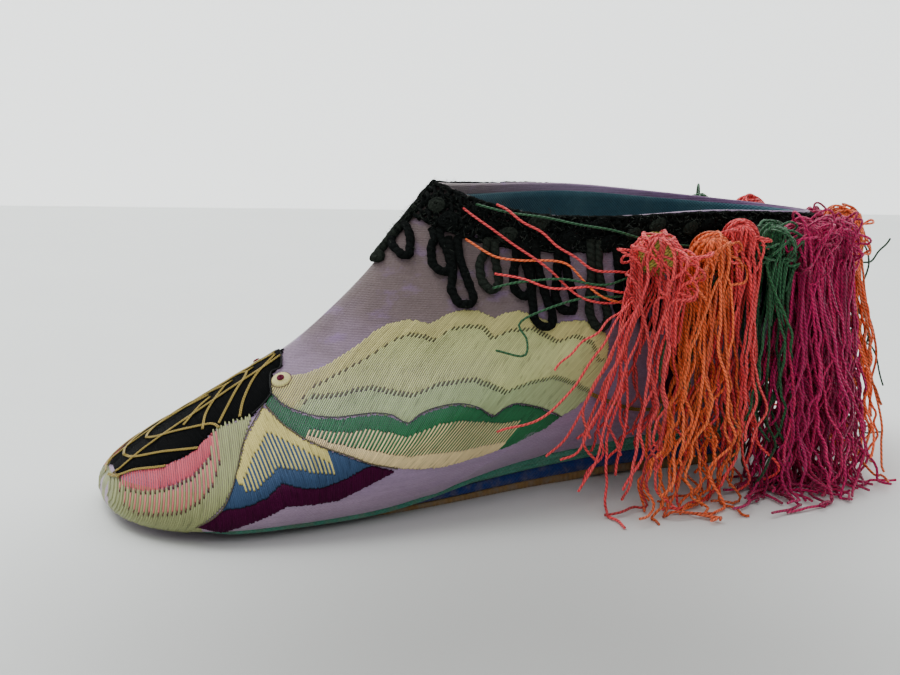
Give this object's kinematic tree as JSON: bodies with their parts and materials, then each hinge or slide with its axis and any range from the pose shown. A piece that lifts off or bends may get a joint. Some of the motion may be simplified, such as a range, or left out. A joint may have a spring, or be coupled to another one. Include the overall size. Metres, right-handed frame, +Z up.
{
  "type": "lotus shoe",
  "caption": "Small embroidered silk shoe with a layered cloth sole, a pointed ridge over the instep, a corded collar and silk tassels around the heel.",
  "frame": {"origin": "on the floor, at the flat underside of the sole, on the shoe's centre line", "axes": "+X to the toe, +Y to the wearer's left, +Z up"},
  "size_m": [0.1671, 0.085, 0.0566],
  "materials": {
    "tan_cloth": "stitched hemp and paper sole, worn matte",
    "blue_cloth": "royal blue cotton over the sole's middle layer, matte",
    "teal_cloth": "teal ribbed cotton band, matte",
    "lining_cotton": "teal-blue cotton lining, matte",
    "lilac_silk": "faded lilac silk satin, soft sheen, soiled",
    "black_silk": "black silk with couched gold cord",
    "black_cord": "crocheted and braided black silk cord, worn, matte",
    "pink_floss": "celadon and pink silk floss, satin stitch",
    "blue_floss": "blue, magenta and cream silk floss, satin stitch",
    "cream_floss": "cream and celadon silk floss, satin stitch",
    "green_floss": "green and cream silk floss, satin stitch",
    "coral_silk": "twisted coral silk cord",
    "orange_silk": "twisted orange silk cord",
    "magenta_silk": "twisted magenta silk cord",
    "moss_silk": "twisted dark green silk cord",
    "navy_silk": "twisted navy silk cord"
  },
  "bodies": {
    "root": {"outsole": "tan_cloth", "heel_wedge": "blue_cloth", "midsole": "teal_cloth", "insole": "lining_cotton", "upper": "lilac_silk", "toe_cap": "black_silk", "collar_trim": "black_cord", "front_wing_left": "pink_floss", "lower_wing_left": "blue_floss", "back_wing_left": "cream_floss", "green_wing_left": "green_floss", "eye_left": "cream_floss", "front_wing_right": "pink_floss", "lower_wing_right": "blue_floss", "back_wing_right": "cream_floss", "green_wing_right": "green_floss", "eye_right": "cream_floss", "tassel_1_coral": "coral_silk", "tassel_2_orange": "orange_silk", "tassel_3_coral": "coral_silk", "tassel_4_moss": "moss_silk", "tassel_5_magenta": "magenta_silk", "tassel_6_magenta": "magenta_silk", "tassel_7_orange": "orange_silk", "tassel_8_magenta": "magenta_silk", "tassel_9_coral": "coral_silk", "tassel_10_moss": "moss_silk", "tassel_11_navy": "navy_silk", "tassel_12_magenta": "magenta_silk", "tassel_13_orange": "orange_silk", "tassel_14_coral": "coral_silk", "tassel_15_moss": "moss_silk"}
  },
  "joints": []
}
